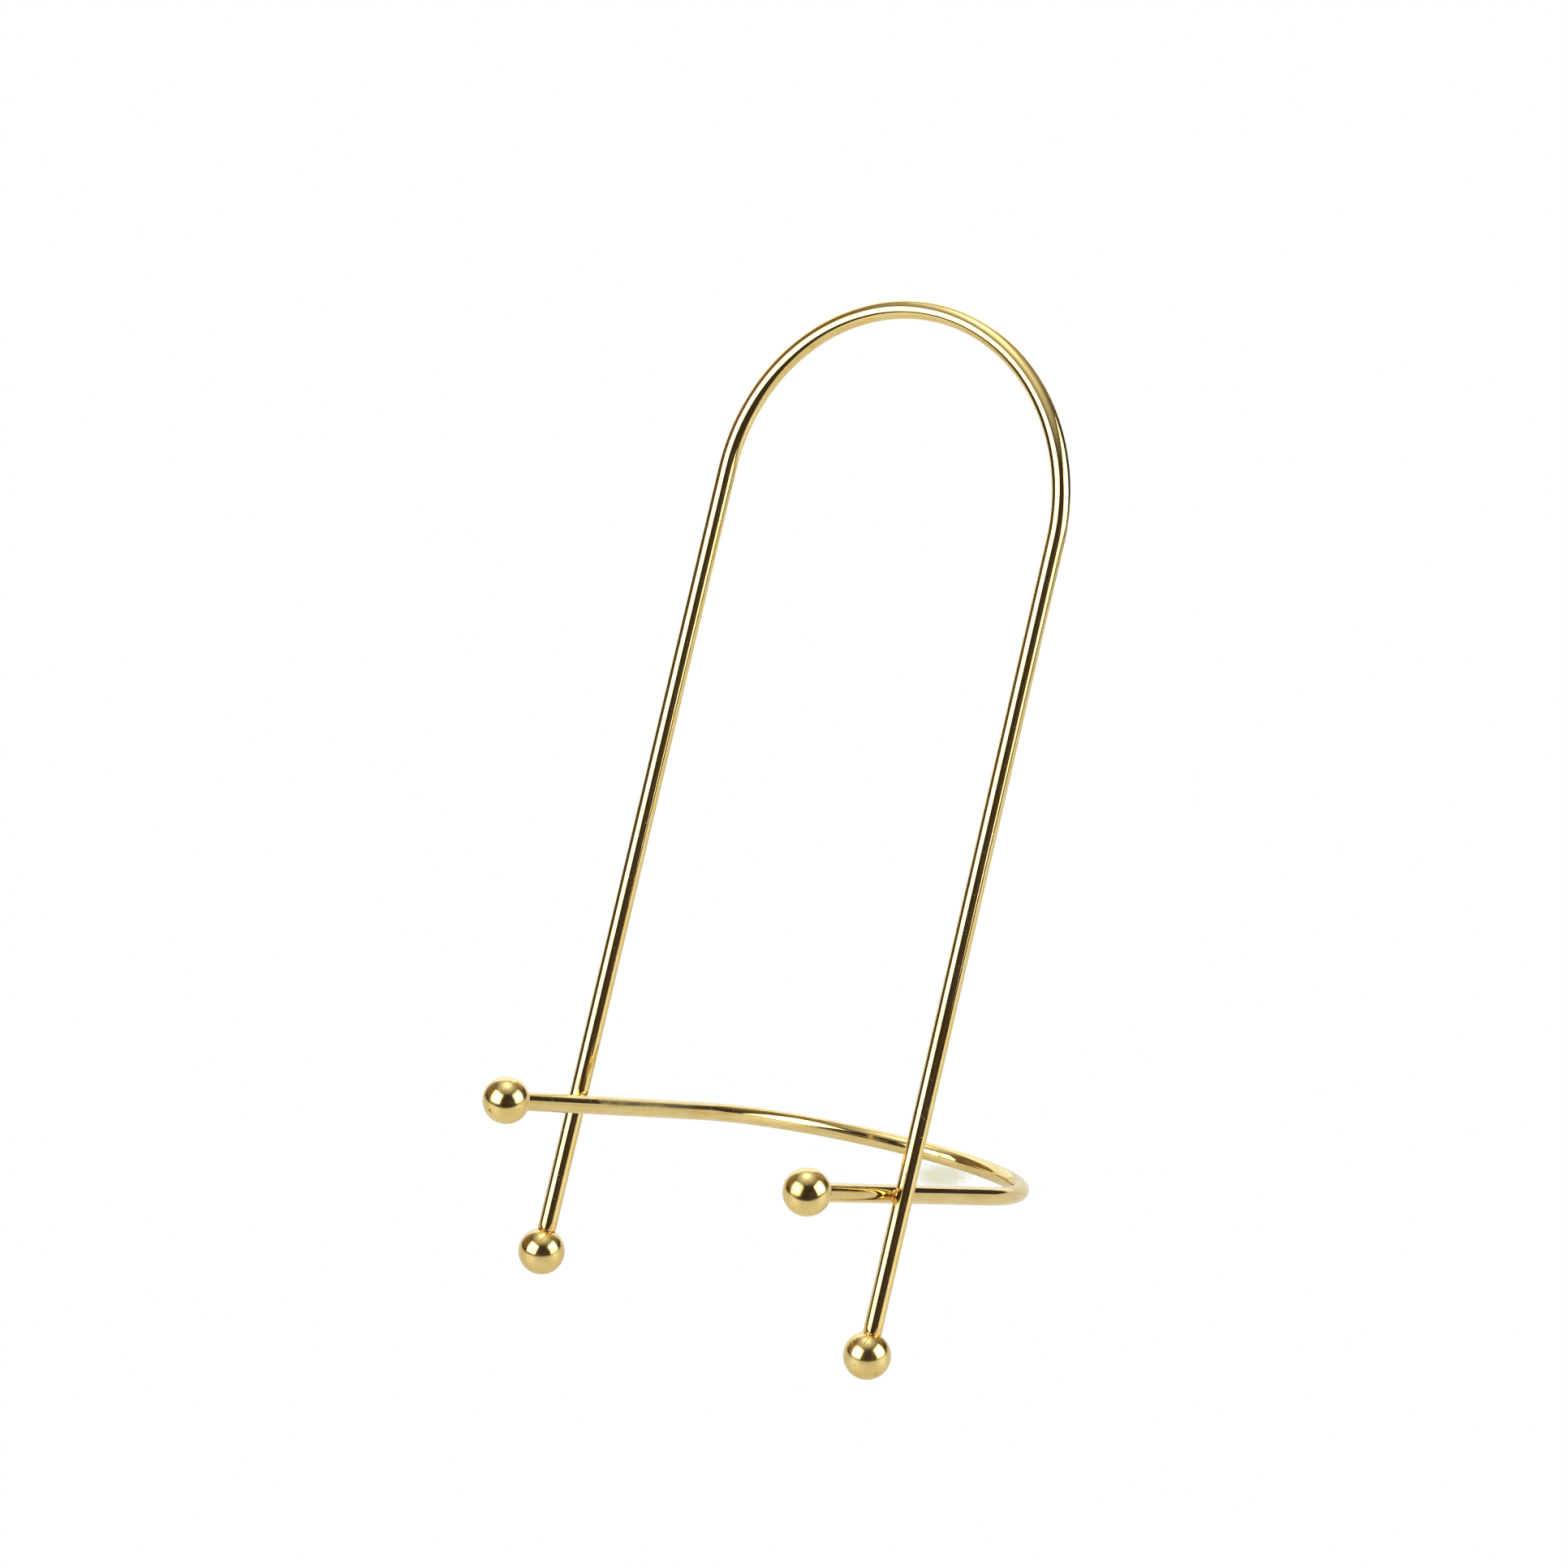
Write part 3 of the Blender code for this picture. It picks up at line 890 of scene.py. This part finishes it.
# Each paler patch of the room: its azimuth and elevation, its solid and faded reach, all in
# degrees, and its colour
ROOM_PATCHES = (
    (180, 52, (8, 34), (0.44, 0.40, 0.33)),
    (140, 32, (6, 24), (0.38, 0.29, 0.19)),
    (-136, 22, (8, 24), (0.34, 0.26, 0.18)),
    (-108, 27, (8, 26), (0.24, 0.14, 0.09)),
    (107, 34, (4, 24), (0.13, 0.11, 0.07)),
    (22, 14, (3, 15), (0.085, 0.062, 0.050)),
)


def add_world():
    """A dark brown room for the metal to mirror, and plain white for the camera to see."""
    world = bpy.data.worlds.new("room")
    sheet = Sheet(world)
    direction = sheet.add("ShaderNodeTexCoord").outputs["Generated"]
    colour = ROOM_COLOUR
    for azimuth, elevation, reach, tint in ROOM_PATCHES:
        fields = {0: direction, 1: around(azimuth, elevation)}
        closeness = sheet.add("ShaderNodeVectorMath", fields, operation="DOT_PRODUCT")
        inner, outer = (math.cos(math.radians(angle)) for angle in reach)
        colour = sheet.mix(sheet.fade(closeness.outputs["Value"], outer, inner), colour, tint)
    room = sheet.add("ShaderNodeBackground", {"Color": colour})
    white = sheet.add("ShaderNodeBackground", {"Color": (*WHITE, 1.0)})
    sheet.finish(sheet.camera_sees(white, room), "ShaderNodeOutputWorld")
    bpy.context.scene.world = world


# ---------------------------------------------------------------- the easel

TABLE_TOP = 0.0

# How strongly patches and streaks show on each rod
UPRIGHT_MOTTLING = 0.25
BASE_MOTTLING = 1.0

# Where the noise starts that shapes the joints. The right side starts one further on.
FOOT_BRAZE_SEED = 3.1
LEDGE_BRAZE_SEED = 7.7
WELD_SEED = 2.3


def facing_point(centre, right, up):
    """A point on a ball, in ball radii right and up of its middle as the photo shows it."""
    toward = around(0.0, math.degrees(CAMERA_ELEVATION))
    upward = toward.cross(RIGHTWARDS)
    out = math.sqrt(1.0 - right ** 2 - up ** 2)
    return centre + (RIGHTWARDS * right + upward * up + toward * out) * BALL_RADIUS


def joint_point(centre, direction):
    return centre + direction * SHOULDER


# Each stain: its middle, as facing_point takes it, its solid and faded radius, its colour, how
# strong it is and how much it roughens
STAINS = {
    "ledge_ball_left": (
        ((-0.66, -0.38), 0.25 * MM, 0.75 * MM, RUST, 0.85, 0.30),
        ((-0.58, -0.46), 0.10 * MM, 0.35 * MM, RUST, 0.80, 0.30),
        ((-0.45, 0.25), 0.20 * MM, 0.80 * MM, TARNISH, 0.75, 0.10),
        ((-0.60, 0.02), 0.20 * MM, 0.70 * MM, TARNISH, 0.75, 0.10),
    ),
    "ledge_ball_right": (
        ((-0.42, 0.13), 1.20 * MM, 2.40 * MM, TARNISH, 0.40, 0.08),
        ((-0.55, -0.62), 0.08 * MM, 0.22 * MM, PIT_BROWN, 0.90, 0.30),
        ((0.10, -0.86), 0.08 * MM, 0.20 * MM, PIT_BROWN, 0.90, 0.30),
    ),
    "foot_ball_left": (
        ((0.20, 0.42), 0.10 * MM, 0.40 * MM, TARNISH, 0.50, 0.10),
    ),
    "foot_ball_right": (
        ((-0.52, -0.30), 0.08 * MM, 0.25 * MM, PIT_BROWN, 0.80, 0.30),
        ((0.35, -0.72), 0.20 * MM, 1.20 * MM, TARNISH, 0.45, 0.10),
    ),
}

# The share of places that has a pit, on each ball
PITTING = {
    "ledge_ball_left": 0.15, "ledge_ball_right": 0.45,
    "foot_ball_left": 0.25, "foot_ball_right": 0.25,
}


def ball_metal(name, centre, direction):
    stains = [(facing_point(centre, *place), *rest) for place, *rest in STAINS[name]]
    return plated_ball(name + "_plate", joint_point(centre, direction), stains, PITTING[name])


def add_upright():
    ends = [end_stations(FOOT_CENTRES[word], leg_direction(side)) for word, side in SIDES.items()]
    plate = plated_rod("upright_plate", UPRIGHT_MOTTLING, FOOT_CENTRES.values())
    add_rod("upright_rod", ends, arch_points(), ACROSS.cross(UP), plate)


def add_base():
    ends = [
        end_stations(LEDGE_CENTRES[word], prong_direction(side)) for word, side in SIDES.items()
    ]
    plate = plated_rod("base_plate", BASE_MOTTLING, LEDGE_CENTRES.values(), True)
    add_rod("base_rod", ends, loop_points(), ACROSS.cross(BACK), plate, TABLE_TOP)


def add_side(word, number, foot_braze, ledge_braze, weld):
    """The balls, brazes and weld on one side. The number makes its joints unlike the other's."""
    side = SIDES[word]
    foot, leg = FOOT_CENTRES[word], leg_direction(side)
    ledge, prong = LEDGE_CENTRES[word], prong_direction(side)
    foot_plate = ball_metal("foot_ball_" + word, foot, leg)
    ledge_plate = ball_metal("ledge_ball_" + word, ledge, prong)
    add_ball("foot_ball_" + word, foot, leg, foot_plate, TABLE_TOP)
    add_ball("ledge_ball_" + word, ledge, prong, ledge_plate)
    add_braze("foot_braze_" + word, foot, leg, foot_braze, FOOT_BRAZE_SEED + number)
    add_braze("ledge_braze_" + word, ledge, prong, ledge_braze, LEDGE_BRAZE_SEED + number)
    add_weld("crossing_weld_" + word, word, side, weld, WELD_SEED + number)


add_upright()
add_base()
bright_braze = joint_metal("bright_braze", BRIGHT_COPPER, BRAZE_SCALE, 0.2)
dark_braze = joint_metal("dark_braze", BRIGHT_COPPER, BRAZE_SCALE, 0.9)
weld_plate = joint_metal("weld_plate", WELD_GOLD, BRAZE_SCALE, 0.3)
add_side("left", 0, dark_braze, bright_braze, weld_plate)
add_side("right", 1, bright_braze, bright_braze, weld_plate)

add_camera()
add_floor()
add_sweep()
add_benches()
for name, facts in PANELS.items():
    add_panel(name, *facts)
add_world()

view = bpy.context.scene.view_settings
view.view_transform = "Standard"
